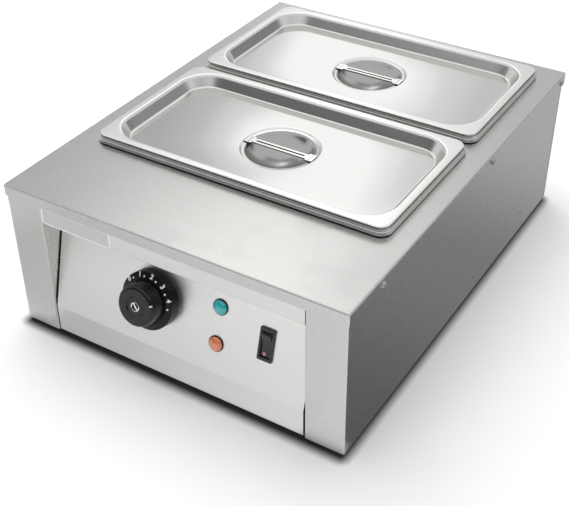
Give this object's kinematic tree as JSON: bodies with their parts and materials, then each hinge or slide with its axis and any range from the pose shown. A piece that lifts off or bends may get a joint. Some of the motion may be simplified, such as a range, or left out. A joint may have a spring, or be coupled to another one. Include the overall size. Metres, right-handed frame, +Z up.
{
  "type": "chocolate melting bain-marie",
  "caption": "Countertop water-bath chocolate melter: stainless body with sloping control panel, drop-in pans under lids with sunken finger bowls and strap handles.",
  "frame": {"origin": "on the counter, under the middle of the body", "axes": "+X to the right seen from the control panel, +Y towards the rear, +Z up"},
  "size_m": [0.3744, 0.5184, 0.1735],
  "materials": {
    "satin_steel": "fine brushed stainless steel",
    "galvanised_sheet": "plain zinc-coated sheet",
    "rubber": "matt black rubber",
    "screw_steel": "bright plated steel",
    "brass": "turned brass",
    "nylon_grey": "dark grey nylon",
    "tank_steel": "drawn stainless steel, dull",
    "sheath": "dull nickel alloy sheath",
    "copper": "drawn copper",
    "thermostat_body": "moulded thermoset and pressed metal",
    "black_gloss": "glossy black moulding",
    "chrome": "bright plating",
    "teal_lens": "clear teal moulding",
    "orange_lens": "clear orange moulding",
    "black_plastic": "semi-gloss black moulding",
    "white_ceramic": "glazed steatite",
    "pan_steel": "drawn stainless steel",
    "polished_steel": "mirror polished stainless steel"
  },
  "bodies": {
    "body": {"top_plate": "satin_steel", "side_panel_left": "satin_steel", "side_panel_right": "satin_steel", "rear_panel": "satin_steel", "control_panel": "satin_steel", "fascia": "satin_steel", "badge_plate": "satin_steel", "bottom_plate": "galvanised_sheet", "heat_shield": "galvanised_sheet", "thermostat_bracket": "galvanised_sheet", "element_clips": "galvanised_sheet", "bulb_clips": "galvanised_sheet", "feet": "rubber", "foot_screws": "screw_steel", "foot_nuts": "screw_steel", "lip_screws": "screw_steel", "rear_screws": "screw_steel", "thermostat_screws": "screw_steel", "earth_stud": "brass", "earth_nut": "brass", "terminal_screws": "brass", "element_glands": "brass", "element_gland_nuts": "brass", "lamp_nuts": "nylon_grey", "water_tank": "tank_steel", "heating_element": "sheath", "capillary": "copper", "thermostat": "thermostat_body", "dial_disc": "black_gloss", "lamp_lens_teal": "teal_lens", "lamp_lens_orange": "orange_lens", "lamp_holder_teal": "black_plastic", "lamp_holder_orange": "black_plastic", "switch_housing": "black_plastic", "terminal_block": "white_ceramic", "cable_gland": "nylon_grey", "gland_nut": "nylon_grey"},
    "pan_front": {"pan_front": "pan_steel"},
    "pan_rear": {"pan_rear": "pan_steel"},
    "lid_front": {"lid_front": "polished_steel", "handle_front": "polished_steel"},
    "lid_rear": {"lid_rear": "polished_steel", "handle_rear": "polished_steel"},
    "knob": {"knob": "black_gloss", "knob_cap": "chrome", "thermostat_shaft": "screw_steel"},
    "rocker": {"rocker": "black_plastic"}
  },
  "joints": [
    {"name": "pan_front_lift", "type": "slide", "parent": "body", "child": "pan_front", "axis": [0, 0, 1], "range_m": [0, 0.13]},
    {"name": "pan_rear_lift", "type": "slide", "parent": "body", "child": "pan_rear", "axis": [0, 0, 1], "range_m": [0, 0.13]},
    {"name": "lid_front_lift", "type": "slide", "parent": "pan_front", "child": "lid_front", "axis": [0, 0, 1], "range_m": [0, 0.12]},
    {"name": "lid_rear_lift", "type": "slide", "parent": "pan_rear", "child": "lid_rear", "axis": [0, 0, 1], "range_m": [0, 0.12]},
    {"name": "knob_turn", "type": "hinge", "parent": "body", "child": "knob", "pos_m": [-0.028, -0.22845, 0.08316], "axis": [0, -0.9632, 0.2689], "range_deg": [0, 270]},
    {"name": "switch_rock", "type": "hinge", "parent": "body", "child": "rocker", "pos_m": [0.0962, -0.22583, 0.08139], "axis": [-1, 0, 0], "range_deg": [0, 18]}
  ]
}
